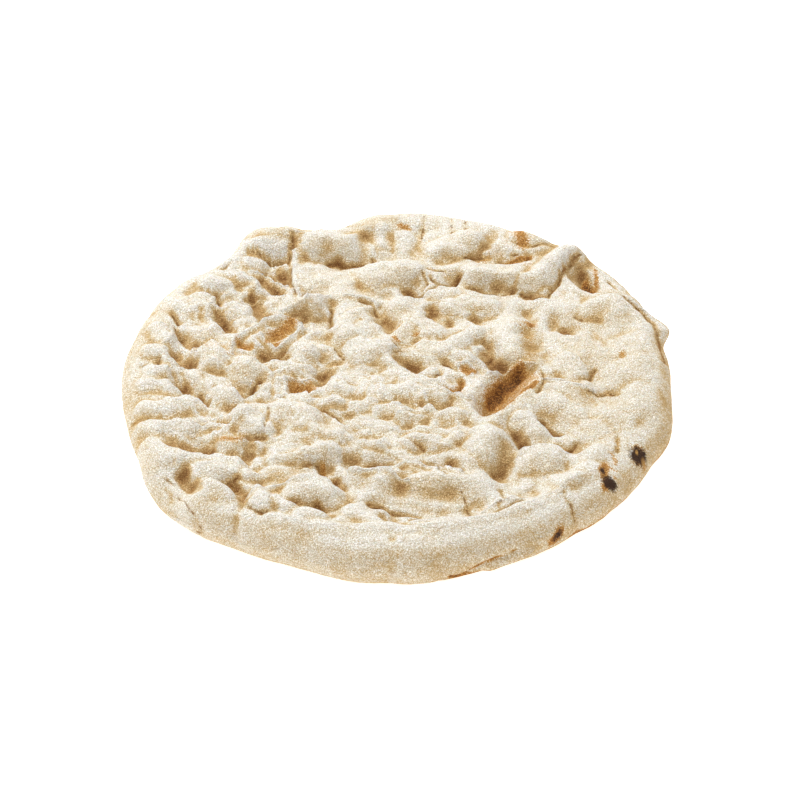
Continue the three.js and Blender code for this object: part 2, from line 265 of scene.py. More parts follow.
# pillows of dough: where two meet, a crease is left
pillowStrokes = [
    # back left
    ([(-69, 111), (-62, 112)], 8, 3),
    ([(-75, 102), (-64, 102)], 8, 4),
    ([(-92, 88), (-84, 104)], 5, 2),
    ([(-80, 90), (-72, 91)], 5, 2.5),
    ([(-67, 89), (-62, 89)], 5, 2.5),
    ([(-84, 78), (-82, 76)], 4, 2),
    ([(-102, 71), (-94, 70)], 7, 3),
    ([(-90, 64), (-83, 63)], 6, 2.5),
    ([(-98, 48), (-82, 51)], 6, 2.5),
    ([(-112, 54), (-104, 58)], 8, 1.5),
    # back
    ([(-18, 122), (-4, 124)], 8, 1.5),
    ([(-42, 103), (-24, 102)], 12, 4),
    ([(-10, 118), (-8, 108)], 6, 2.5),
    ([(2, 112), (4, 100)], 7, 2.5),
    ([(24, 101), (38, 106)], 11, 4),
    ([(-14, 80), (2, 86)], 12, 4),
    ([(-46, 80), (-34, 72)], 14, 2),
    ([(17, 66), (26, 66)], 7, 2.5),
    ([(0, 56), (10, 56)], 7, 2),
    ([(26, 54), (32, 58)], 7, 2.5),
    ([(36, 53), (46, 54)], 8, 3),
    ([(-31, 34), (-24, 44), (-14, 50)], 7, 3),
    ([(-56, 48), (-42, 52)], 8, 4),
    ([(66, 109), (74, 103)], 9, 4),
    ([(48, 99), (56, 98)], 6, 2),
    ([(42, 80), (58, 80)], 11, 4.5),
    ([(68, 72), (80, 83), (93, 95)], 9, 4.5),
    # left
    ([(-126, 34), (-122, 26)], 6, 2.5),
    ([(-128, 14), (-120, 14)], 5, 2.5),
    ([(-126, -3), (-118, 1)], 5, 2.5),
    ([(-128, -12), (-114, -13)], 6, 2.5),
    ([(-126, -30), (-114, -32)], 6, 3),
    ([(-126, -45), (-104, -44)], 6, 2),
    ([(-99, 14), (-92, 7)], 10, 4.5),
    ([(-79, 2), (-75, -4)], 11, 5),
    ([(-90, -20), (-84, -22)], 8, 4),
    ([(-112, -27), (-102, -27)], 7, 3),
    ([(-76, -37), (-70, -44)], 10, 4.5),
    ([(-58, -33), (-48, -37)], 11, 4),
    ([(-54, 12), (-47, 15)], 7, 3),
    ([(-66, 6), (-56, 3)], 5, 2),
    ([(-54, 3), (-46, 2)], 5, 2.5),
    ([(-66, -6), (-67, -18)], 4, 2),
    ([(-61, -8), (-61, -20)], 3.5, 2),
    ([(-76, -28), (-62, -28)], 4.5, 2),
    ([(-105, 30), (-98, 34)], 8, 2),
    # middle
    ([(4, 36), (16, 33)], 9, 2.5),
    ([(-30, 28), (-22, 38)], 7, 2.5),
    ([(-20, 16), (-6, 14)], 10, 4),
    ([(-10, -4), (-3, -3)], 5, 2),
    ([(0, -4), (12, -8), (26, -13)], 4, 3),
    ([(-10, -18), (5, -16), (18, -20)], 8, 4),
    ([(-40, -13), (-28, -13)], 6, 2.5),
    ([(-55, -22), (-42, -24), (-30, -25)], 4, 2.5),
    ([(-22, -28), (-15, -24)], 5.5, 2.5),
    ([(-10, -30), (-2, -30)], 5, 2.5),
    ([(2, -35), (14, -33)], 6, 3),
    ([(18, -36), (28, -35)], 6, 2.5),
    ([(-40, -46), (-30, -50)], 7, 2.5),
    ([(-24, -50), (-18, -48)], 5, 2),
    ([(14, 22), (24, 18)], 7, 2.5),
    ([(28, 22), (38, 30)], 7, 3),
    ([(14, 1), (16, -1)], 5, 2.5),
    ([(28, 12), (34, 12)], 5, 2),
    # right
    ([(60, 32), (61, 11)], 13, 4),
    ([(40, 20), (42, 17)], 5, 2.5),
    ([(102, 49), (112, 50)], 11, 2.5),
    ([(92, 24), (98, 14)], 10, 2.5),
    ([(112, 16), (122, 18)], 10, 1.8),
    ([(76, 60), (88, 54)], 10, 2),
    ([(84, 6), (88, -4)], 8, 2.5),
    ([(74, -12), (90, -16)], 9, 2),
    ([(64, -26), (76, -24)], 9, 2.5),
    ([(106, -36), (118, -26)], 13, 3),
    ([(106, -8), (118, 0)], 10, 1.6),
    ([(62, -42), (66, -48)], 9, 4),
    ([(79, -53), (83, -54)], 5.5, 2),
    ([(62, -68), (72, -68)], 11, 3.5),
    ([(84, -68), (94, -66)], 8, 2.5),
    ([(78, -84), (90, -78)], 8, 2.5),
    ([(90, -48), (98, -44)], 8, 2),
    # front
    ([(-84, -56), (-79, -56)], 7, 4),
    ([(-76, -59), (-70, -57)], 5, 2.5),
    ([(-104, -68), (-88, -67), (-78, -70)], 5, 2.5),
    ([(-93, -75), (-82, -75)], 9, 4),
    ([(-92, -91), (-82, -93)], 9, 3),
    ([(-73, -77), (-70, -79)], 5, 3.5),
    ([(-63, -76), (-48, -76)], 6, 2.5),
    ([(-67, -95), (-64, -103)], 7, 4.5),
    ([(-57, -100), (-53, -105)], 6, 4),
    ([(-46, -92), (-34, -91)], 11, 5),
    ([(-46, -109), (-38, -109)], 6, 3),
    ([(-44, -65), (-35, -64)], 8, 4),
    ([(-60, -67), (-50, -68)], 5, 2.5),
    ([(-122, -58), (-114, -66)], 7, 2),
    ([(-16, -53), (-10, -55)], 6, 3.5),
    ([(6, -53), (16, -54)], 7, 3.5),
    ([(20, -56), (28, -51)], 4, 3),
    ([(42, -55), (47, -64)], 12, 4.5),
    ([(54, -66), (56, -67)], 4, 3),
    ([(-14, -86), (10, -88), (36, -90)], 16, 3.5),
    ([(-20, -104), (-11, -107)], 8, 4),
    ([(50, -86), (58, -84)], 6, 2),
    ([(40, -86), (42, -97)], 8, 3),
]

ridgeStrokes = [
    # lips of the sunken blister
    ([(-86, 19), (-79, 31), (-70, 37), (-61, 41), (-53, 38), (-51, 32)], 2.8, 3.4),
    ([(-71, 28), (-67, 22), (-63, 18), (-57, 23), (-52, 33)], 2.6, 2.6),
    ([(-86, 19), (-85, 10)], 2.4, 1.6),
    # lips of the toasted pocket
    ([(45, -4), (52, 1), (61, 4), (67, 3)], 2.6, 2.4),
    # square cell
    ([(-57, -6), (-43, -6)], 2.5, 2.2),
    ([(-57, -6), (-57, -18)], 2.5, 2.4),
    ([(-58, -19), (-40, -17)], 2.5, 0.8),
    # folds in the middle
    ([(0, -8), (15, -13), (28, -21), (36, -22)], 3, 2),
    ([(29, 5), (34, 7), (38, 2), (36, -3)], 2, 2),
    # folds behind the blister, and the edge of the top layer on the right
    ([(-66, 49), (-61, 45), (-53, 47), (-48, 55), (-38, 60)], 3, 2),
    ([(-101, 52), (-90, 55), (-80, 55)], 3, 1.5),
    ([(112, 58), (121, 50), (127, 45)], 3, 1.5),
    # crest of the front crust
    ([(-60, -112), (-41, -119), (-20, -119), (-5, -118), (14, -119), (42, -112), (63, -101),
      (83, -86)], 6, 2.5),
    # peaks at the front
    ([(-10, -80), (-3, -73), (6, -71), (13, -72), (17, -77)], 2.6, 2.5),
    ([(17, -77), (22, -71), (28, -80)], 2.6, 3),
    ([(-72, -98), (-66, -90), (-58, -86), (-48, -85), (-40, -81), (-35, -79)], 3, 2),
    # back left and left
    ([(-79, 82), (-72, 80), (-66, 76), (-60, 73)], 2.4, 2),
    ([(-78, 76), (-74, 68), (-66, 64), (-62, 62)], 2.4, 2),
    ([(-57, 100), (-57, 84), (-56, 68), (-52, 60)], 2.6, 1.5),
    ([(-130, 18), (-125, 17), (-118, 22), (-116, 30)], 2.6, 1.5),
    ([(-120, 8), (-116, 6), (-112, 0), (-110, -5)], 2.4, 1.5),
    # right
    ([(72, -9), (80, -10), (88, -14), (95, -17)], 2.6, 1.5),
    ([(60, -62), (70, -59), (76, -61), (80, -65)], 2.6, 1.5),
    # lip of the front fold, and lines near it
    ([(-2, -112), (12, -113), (26, -114), (40, -112), (48, -108)], 2.4, 1.5),
    ([(-24, -76), (-18, -80), (-10, -78), (-3, -82), (3, -85)], 2.6, 2.5),
    ([(38, -106), (52, -95)], 2.4, 1.5),
    # back
    ([(-28, 62), (-18, 61), (-12, 57)], 2.4, 1.5),
]

# where the skin is crumpled; it is smoother elsewhere
crumpleStrokes = [
    ([(-95, 60), (-105, 0), (-95, -40)], 45, 1.0),
    ([(-60, 30), (-50, -30)], 45, 1.0),
    ([(-20, -20), (30, -25)], 45, 1.0),
    ([(-80, -70), (-40, -65), (30, -65)], 32, 0.6),
    ([(0, 30), (30, 50)], 35, 0.7),
    ([(-60, 80), (-75, 100)], 30, 0.7),
]

# lines on the outer wall, as places in space
wallCreases = [
    ([(-3, -127, 24), (-4, -136, 18), (-4, -140, 11), (-4, -137, 4)], 2.6, 1.8),
    ([(-73, -100, 24), (-76, -111, 21), (-78, -118, 13)], 3, 2),
    ([(53, -125, 14), (45, -129, 13), (38, -132, 11), (30, -134, 8), (22, -136, 6)], 2.4, 2.5),
    ([(24, -135, 8), (16, -134, 4), (6, -133, 2)], 2.4, 1.5),
    ([(132, -46, 10), (124, -64, 8), (112, -84, 7), (100, -98, 6)], 2.6, 2),
    ([(-112, -84, 16), (-104, -98, 10)], 2.4, 1.2),
]
wallRidges = [
    ([(0, -128, 24), (0, -137, 17), (0, -140, 10)], 2.6, 1.2),
    ([(60, -121, 11), (50, -126, 9), (42, -129, 7)], 4, 1.5),
]

# thin tab on the right, and the wall set back under it
tabStrokes = [([(135, 31, 21), (141, 28, 21)], 4.5, 3)]
tabRecess = [([(140, 36, 9), (139, 24, 9), (138, 14, 9)], 8, 5)]

# colour strokes: corners, half width in mm, strength
toastStrokes = [
    ([(-65, 30), (-56, 37)], 6, 0.7),
    ([(-68, 24), (-62, 23)], 3.5, 0.6),
    ([(-82, 21), (-77, 20)], 4, 0.7),
    ([(-53, -10), (-46, -11)], 6.5, 0.75),
    # dark core of the pocket: toast, darkened on its far wall with painted shade
    ([(60, 0), (52, -8), (46, -18)], 8, 1.0),
    ([(64, 36), (66, 22), (65, 6)], 9, 0.32),
    ([(9, 31), (8, 30)], 2.5, 0.6),
    ([(-104, 15), (-90, 16), (-78, 8)], 9, 0.25),
    ([(63, -6), (54, -16), (46, -27)], 13, 0.55),
    ([(67, -12), (57, -23), (47, -33)], 3.5, 0.75),
    ([(98, -75), (96, -80), (97, -88)], 4, 0.8),
    ([(98, -75), (103, -77)], 2.5, 0.5),
    ([(115, -62), (115, -67)], 6, 0.7),
    ([(101, -66), (103, -72)], 2.5, 0.5),
    ([(105, -54), (104, -62)], 2, 0.4),
    ([(33, 2), (36, 0)], 5, 0.75),
    ([(31, -6), (29, -17), (22, -16)], 3.4, 0.7),
    ([(64, 112), (67, 102)], 6, 0.7),
    ([(1, 121), (4, 120)], 4, 0.65),
    ([(58, 91), (69, 93)], 4, 0.75),
    ([(42, 93), (48, 95)], 3, 0.5),
    ([(98, 78), (101, 70)], 4.2, 1.0),
    ([(104, 85), (104, 72)], 2.5, 0.65),
    ([(101, 70), (106, 62)], 2.5, 0.6),
    ([(68, 40), (68, 37)], 4.5, 0.75),
    ([(113, 10), (112, 7)], 3, 0.5),
    ([(-37, -71), (-36, -75)], 3, 0.7),
    ([(-3, 27), (-1, 25)], 3, 0.65),
    ([(75, -114, 16), (72, -117, 12)], 5.5, 1.0),
    # brown edge low on the front wall: partly toasted underside, partly painted shadow where the bread
    # meets the floor
    ([(24, -135, 6), (42, -130, 6)], 2.6, 1.0),
    ([(49, -127, 6), (58, -123, 6)], 2.2, 0.7),
    ([(70, -116, 6), (78, -111, 6)], 2.4, 0.8),
    ([(81, -108, 7), (87, -103, 7), (100, -90, 7), (112, -75, 7), (121, -60, 7)], 3.2, 0.9),
    ([(121, -60, 7), (131, -43, 7), (135, -24, 7)], 3.2, 0.7),
    ([(53, -125, 14), (45, -129, 13), (38, -132, 11), (30, -134, 8), (22, -136, 6)], 1.7, 0.85),
    ([(-102, -96, 3), (-92, -106, 2)], 4, 0.6),
    ([(-131, -38), (-115, -38)], 2.5, 0.4),
    ([(2, -46), (4, -45)], 2.5, 0.35),
    ([(18, -43), (23, -43)], 2.5, 0.35),
    ([(-85, -53), (-79, -54)], 7, 0.6),
]

# burnt spots, and golden skin showing through them: centre and half widths in mm, strength
charSpots = [
    ((115, -64.5, 21), (7, 8, 14), 0.9),
    ((99, -85.5, 21), (6, 5, 14), 0.9),
    ((96, -80, 21), (2.2, 5, 14), 0.6),
    ((74, -115, 14), (5, 6, 6), 0.55),
    # char in the pocket's core, partly painted shade on its far wall
    ((52, -8, 18), (4.5, 4, 14), 0.5),
    ((99.5, 75, 18), (4, 4.5, 14), 0.45),
]
emberSpots = [
    ((117.5, -67, 20), (2.6, 4.5, 14), 1.0),
    ((114, -63, 20), (1.6, 3, 14), 0.8),
    ((102, -82, 20), (2, 2.5, 14), 0.8),
]

# skin without flour: blisters, stretched hollows, golden valleys
bareStrokes = [
    ([(-75, 110), (-62, 110)], 11, 0.8),
    ([(-18, 122), (-4, 125)], 9, 0.7),
    ([(68, 108), (76, 100)], 10, 0.6),
    ([(-52, 48), (-40, 44)], 8, 0.6),
    ([(-84, -56), (-79, -57)], 7, 1.0),
    ([(67, 32), (66, 6)], 9, 1.0),
    ([(52, -60), (48, -75)], 7, 0.7),
    ([(58, -50), (60, -56)], 4.5, 0.8),
    ([(-22, -72), (-5, -71)], 6, 0.8),
    ([(2, -76), (8, -77)], 5, 0.8),
    ([(-110, -56), (-92, -59)], 6.5, 0.8),
    ([(-72, -57), (-74, -68)], 5, 0.7),
    ([(-60, -78), (-45, -77)], 6, 0.6),
    ([(93, 85), (101, 87)], 6, 1.0),
    ([(-73, 76), (-62, 65)], 5.5, 0.8),
    ([(-64, 88), (-60, 77)], 5, 0.8),
    ([(-75, 57), (-69, 43)], 6, 0.7),
    ([(-71, 16), (-58, 13)], 5, 0.7),
    ([(-40, -8), (-33, 8)], 6, 0.7),
    ([(-50, -100), (-33, -108)], 6, 0.6),
    ([(72, -8), (50, -34)], 9, 0.5),
    # darker and more golden along the left rim
    ([(-132, 40), (-138, 0), (-130, -45)], 18, 0.3),
    # painted shade: the right side, sloping away from the light, is darker
    ([(100, 35), (115, 0), (106, -45)], 40, 0.3),
]


def readPlaces(piece):
    places = np.empty(len(piece.data.vertices) * 3)
    piece.data.vertices.foreach_get("co", places)
    return places.reshape(-1, 3)


def applyModifier(piece, name, kind, **values):
    modifier = piece.modifiers.new(name, kind)
    for key, value in values.items():
        setattr(modifier, key, value)
    bpy.ops.object.modifier_apply(modifier=name)


# distance in mm from each point to a line with corners
def lineDistance(points, corners):
    nearest = np.full(len(points), np.inf)
    for start, end in zip(corners, corners[1:]):
        start = np.array(start, float)
        along = np.array(end, float) - start
        share = np.clip((points - start) @ along / (along @ along), 0, 1)
        nearest = np.minimum(nearest, np.linalg.norm(points - start - share[:, None] * along, axis=1))
    return nearest


# distance in mm to the nearest of several lines, and the same with a sign for the side of the line
def nearestLine(points, strokes, reach):
    nearest = np.full(len(points), reach)
    signed = np.full(len(points), reach)
    for corners, halfWidth, amount in strokes:
        for start, end in zip(corners, corners[1:]):
            along = np.array(end, float) - start
            far = lineDistance(points, [start, end])
            offset = points - start
            side = (along[0] * offset[:, 1] - along[1] * offset[:, 0]) / np.linalg.norm(along)
            closer = far < nearest
            nearest[closer] = far[closer]
            signed[closer] = np.where(np.abs(side) < far - 0.01, np.sign(side) * far, side)[closer]
    return nearest, signed


# ways a stroke fades from its line (0) to its edge (1)
def softFade(t):
    return np.clip(1 - t * t, 0, 1) ** 2


def domeFade(t):
    return np.clip(1 - t * t, 0, 1)


def patchFade(t):
    return np.clip(2.2 * (1 - t), 0, 1)


def bowlFade(t):
    t = np.clip((t - 0.15) / 0.85, 0, 1)
    return 1 - t * t * (3 - 2 * t)


def creaseFade(t):
    return np.clip(1 - t, 0, 1) ** 1.5


# places moved by a smooth noise, so that the edges of strokes wander like torn dough
def wanderedPlaces(places, reach, size):
    shift = np.array([noise.noise_vector(Vector(place) / size) for place in places])
    return places + reach * shift


# rounded cells that meet in creases: 1 on top of a cell, 0 in a crease
def roundedCells(places, size):
    nearest = np.array([noise.voronoi(Vector(place) / size)[0][0] for place in places])
    return np.clip(1 - (nearest / 0.8) ** 2, 0, 1)


# thin crests that run on between smooth hollows: 1 on a crest
def thinCrests(places, size):
    heights = np.array([noise.noise(Vector(place) / size) for place in places])
    return np.clip(1 - 3 * np.abs(heights), 0, 1) ** 1.5


# strongest stroke at each point; one with flat corners counts on the top only
def strokeStrength(places, strokes, fade):
    strength = np.zeros(len(places))
    onTop = np.clip((places[:, 2] - breadSettings["topFrom"]) / breadSettings["topFade"], 0, 1)
    for corners, halfWidth, amount in strokes:
        sides = len(corners[0])
        pressed = amount * fade(lineDistance(places[:, :sides], corners) / halfWidth)
        strength = np.maximum(strength, pressed * onTop if sides == 2 else pressed)
    return strength


def paintGroup(piece, name, weight):
    group = piece.vertex_groups.new(name=name)
    for index in np.flatnonzero(weight > 0.001):
        group.add([int(index)], float(weight[index]), "REPLACE")


def pressStrokes(piece, name, places, strokes, fade, share, direction="Z"):
    reach = breadSettings["strokeReach"]
    paintGroup(piece, name, strokeStrength(places, strokes, fade) / reach)
    applyModifier(
        piece, name, "DISPLACE", direction=direction, mid_level=0.0,
        strength=share * reach * mm, vertex_group=name,
    )


def addValues(piece, name, values):
    attribute = piece.data.attributes.new(name, "FLOAT", "POINT")
    attribute.data.foreach_set("value", values.astype(np.float32))


# adds a mask from 0 to 1, evened out over neighbouring points
def addMask(piece, name, values, passes=1):
    values = np.clip(values, 0, 1)
    edges = np.empty(len(piece.data.edges) * 2, np.int32)
    piece.data.edges.foreach_get("vertices", edges)
    first, second = edges.reshape(-1, 2).T
    neighbours = np.bincount(edges, minlength=len(values))
    for step in range(passes):
        total = np.bincount(first, values[second], len(values))
        total += np.bincount(second, values[first], len(values))
        values = 0.5 * values + 0.5 * total / neighbours
    addValues(piece, name, values)


# how far each point lies under the evened-out skin around it, in mm
def depthUnderSkin(piece, passes):
    evened = piece.copy()
    evened.data = piece.data.copy()
    bpy.context.collection.objects.link(evened)
    bpy.context.view_layer.objects.active = evened
    applyModifier(evened, "evenAll", "SMOOTH", factor=0.5, iterations=passes)
    depth = (readPlaces(evened)[:, 2] - readPlaces(piece)[:, 2]) / mm
    bpy.data.objects.remove(evened)
    bpy.context.view_layer.objects.active = piece
    return depth


def readNormals(piece):
    normals = np.empty(len(piece.data.vertices) * 3)
    piece.data.vertex_normals.foreach_get("vector", normals)
    return normals.reshape(-1, 3)


# how steep each point of the top is, from 0 to 1
def steepness(piece, settings):
    steep = (settings["steepFrom"] - readNormals(piece)[:, 2]) / settings["steepFade"]
    return np.clip(steep, 0, 1) * skinShares(piece, settings)[0]


# how much each point belongs to the upright crust (darker dough, with painted shade on walls turned from
# the light), and to a slope of the top that faces the front, away from the light (painted shade)
def slopes(piece, settings):
    normals = readNormals(piece)
    places = readPlaces(piece)[:, :2] / mm
    radius = np.linalg.norm(places, axis=1)
    outer = np.clip((radius - settings["crustFrom"]) / settings["crustFade"], 0, 1)
    outwards = (normals[:, :2] * places).sum(1) / np.maximum(radius, 1)
    upright = np.clip((0.95 - normals[:, 2]) / 0.15, 0, 1) * np.clip(2.5 * outwards, 0, 1)
    upright *= 0.6 + 0.4 * normals[:, 0]  # painted shade: walls facing left, towards the light, stay lighter, and those facing right get more of the darker crust colour
    return upright * outer, np.clip(-2 * normals[:, 1] - 0.1, 0, 1) * (1 - 0.8 * outer)


# shares of the small relief at each point of the top and of the crust round it; none on the sole
def skinShares(piece, settings):
    places = readPlaces(piece) / mm
    radius = np.hypot(places[:, 0], places[:, 1])
    inner = 1 - np.clip((radius - settings["skinFrom"]) / settings["skinFade"], 0, 1)
    above = np.clip(places[:, 2] / settings["topFrom"], 0, 1)
    crumpled = strokeStrength(places, crumpleStrokes, softFade)
    above *= settings["calmSkin"] + (1 - settings["calmSkin"]) * crumpled
    return inner * above, settings["rimSkin"] * (1 - inner) * above


# swells the top upwards and the crust outwards, without changing the mean height
def swell(piece, name, pattern, height, settings):
    pattern = pattern - pattern.mean()
    for share, direction in zip(skinShares(piece, settings), ("Z", "NORMAL")):
        for sign in (1, -1):
            group = f"{name}{direction}{sign}"
            paintGroup(piece, group, share * np.clip(sign * pattern, 0, 1))
            applyModifier(
                piece, group, "DISPLACE", direction=direction, mid_level=0.0,
                strength=sign * height * mm, vertex_group=group,
            )


def crumpleSkin(piece, settings):
    places = wanderedPlaces(readPlaces(piece) / mm, settings["cellWander"], settings["cellWanderSize"])
    places = places / (settings["cellStretch"], 1, 3)
    for size, height in settings["cells"]:
        swell(piece, f"cells{size}", roundedCells(places, size), height, settings)
    for size, height in settings["crests"]:
        swell(piece, f"crests{size}", thinCrests(places, size), height, settings)


# moves crests of the top one way and hollows the other, by how far they stand out of the evened skin
def moveRelief(piece, name, passes, share, direction, settings):
    reach = settings["raiseReach"]
    raised = -depthUnderSkin(piece, passes) / reach * skinShares(piece, settings)[0]
    for sign in (1, -1):
        group = f"{name}{sign}"
        paintGroup(piece, group, np.clip(sign * raised, 0, 1))
        applyModifier(
            piece, group, "DISPLACE", direction=direction, mid_level=0.0,
            strength=sign * share * reach * mm, vertex_group=group,
        )


def roughenSkin(piece, name, size, height):
    texture = bpy.data.textures.new(name, "CLOUDS")
    texture.noise_scale = size * mm
    texture.noise_type = "HARD_NOISE"
    texture.noise_depth = 1
    applyModifier(
        piece, name, "DISPLACE", texture=texture, texture_coords="LOCAL", direction="NORMAL",
        mid_level=0.5, strength=height * mm, vertex_group="skin",
    )


def makeBread(settings):
    noise.seed_set(settings["seed"])
    bpy.ops.object.select_all(action="DESELECT")
    piece = bpy.data.objects.new(settings["name"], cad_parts["bread"].data.copy())
    bpy.context.collection.objects.link(piece)
    piece.select_set(True)
    bpy.context.view_layer.objects.active = piece
    piece.data.materials.clear()
    bpy.ops.object.mode_set(mode="EDIT")
    bpy.ops.mesh.select_all(action="SELECT")
    bpy.ops.mesh.remove_doubles(threshold=0.01 * mm)
    bpy.ops.mesh.tris_convert_to_quads(face_threshold=math.pi, shape_threshold=math.pi)
    bpy.ops.object.mode_set(mode="OBJECT")
    bpy.ops.mesh.customdata_custom_splitnormals_clear()
    print("bread copied:", len(piece.data.polygons), "faces")

    level = settings["subdivisions"]
    applyModifier(piece, "finer", "SUBSURF", levels=level, render_levels=level)
    applyModifier(piece, "evenOut", "SMOOTH", factor=0.5, iterations=settings["evenOut"])
    places = wanderedPlaces(readPlaces(piece) / mm, settings["wander"], settings["wanderSize"])
    pressStrokes(piece, "pillows", places, pillowStrokes, domeFade, settings["pillowShare"])
    pressStrokes(piece, "dimples", places, dimpleStrokes, bowlFade, -settings["dimpleShare"])
    pressStrokes(piece, "ridges", places, ridgeStrokes, softFade, settings["ridgeShare"])
    pressStrokes(piece, "creases", places, creaseStrokes, creaseFade, -settings["creaseShare"])
    pressStrokes(piece, "wallRidges", places, wallRidges, softFade, 1, "NORMAL")
    pressStrokes(piece, "wallCreases", places, wallCreases, creaseFade, -1, "NORMAL")
    pressStrokes(piece, "tab", places, tabStrokes, softFade, 1, "X")
    pressStrokes(piece, "tabRecess", places, tabRecess, softFade, -1, "X")
    applyModifier(piece, "soften", "SMOOTH", factor=0.5, iterations=settings["soften"])
    crumpleSkin(piece, settings)
    paintGroup(piece, "skin", sum(skinShares(piece, settings)))
    for name in ("puckers", "wrinkles"):
        roughenSkin(piece, name, *settings[name])
    moveRelief(piece, "sharpen", settings["sharpenPasses"], settings["sharpen"], "Z", settings)
    moveRelief(piece, "lean", settings["leanPasses"], settings["lean"], "Y", settings)
    applyModifier(piece, "settle", "SMOOTH", factor=settings["settle"], iterations=1)
    paintGroup(piece, "steep", steepness(piece, settings))
    applyModifier(
        piece, "steep", "SMOOTH", factor=0.5, iterations=settings["steepPasses"], vertex_group="steep",
    )
    print("bread shaped:", len(piece.data.polygons), "faces")

    depth = depthUnderSkin(piece, settings["hollowPasses"]) / settings["hollowDepth"]
    mid = depthUnderSkin(piece, settings["midPasses"]) / settings["midDepth"]
    fine = depthUnderSkin(piece, settings["finePasses"]) / settings["fineDepth"]
    upright, lee = slopes(piece, settings)
    # dimples and creases are darker inside: partly bare dough, partly painted shade
    brownDimples = [
        (corners, width, (pressed - settings["brownFrom"]) / settings["brownFade"])
        for corners, width, pressed in dimpleStrokes if width < settings["brownWidth"]
    ]
    darkPits = strokeStrength(places, brownDimples, patchFade)
    creased = strokeStrength(places, creaseStrokes, creaseFade) / settings["brownCrease"]
    # deep hollows are darker: partly bare dough, partly painted shade
    addMask(piece, "hollow", depth, 4)
    # painted shade: mid-sized hollows, and slopes facing the front away from the light, are coloured
    # golden to tan
    addMask(piece, "shade", np.clip(mid, 0, 1) * (0.3 + 0.7 * lee) + 0.35 * lee, 2)
    # finest crests are lighter, partly flour and partly painted highlight; finest hollows darker, partly
    # bare dough and partly painted shade
    addMask(piece, "crest", -fine)
    addMask(piece, "pore", fine)
    addMask(piece, "pit", np.maximum(darkPits, creased), 2)
    addMask(piece, "toast", strokeStrength(places, toastStrokes, softFade), 0)
    addMask(piece, "bare", strokeStrength(places, bareStrokes, softFade))
    # crust wall darker: partly dough with less flour, partly painted shade on walls turned from the light
    addMask(piece, "side", upright)
    for name, strokes in (("crease", creaseStrokes), ("ridge", ridgeStrokes)):
        nearest, signed = nearestLine(places[:, :2], strokes, settings["lineReach"])
        nearest[places[:, 2] < settings["topFrom"]] = settings["lineReach"]
        addValues(piece, name + "Far", nearest)
        addValues(piece, name + "Side", signed)
    piece.vertex_groups.clear()
    bpy.ops.object.shade_smooth()
    print("bread painted")
    return piece


# colours as they'd look on a screen
def tone(red, green, blue):
    def linear(value):
        value /= 255
        return value / 12.92 if value <= 0.04045 else ((value + 0.055) / 1.055) ** 2.4
    return (linear(red), linear(green), linear(blue), 1)


crustColours = {
    "flour": tone(253, 251, 246),
    "cream": tone(247, 238, 219),
    "golden": tone(229, 200, 150),
    "tan": tone(205, 168, 114),
    "pit": tone(180, 138, 86),
    "deep": tone(140, 96, 50),
    "crease": tone(165, 115, 62),
    "toastPale": tone(242, 218, 160),
    "toastLight": tone(222, 171, 98),
    "toastDark": tone(180, 123, 60),
    "toastBrown": tone(104, 68, 36),
    "char": tone(70, 46, 31),
}


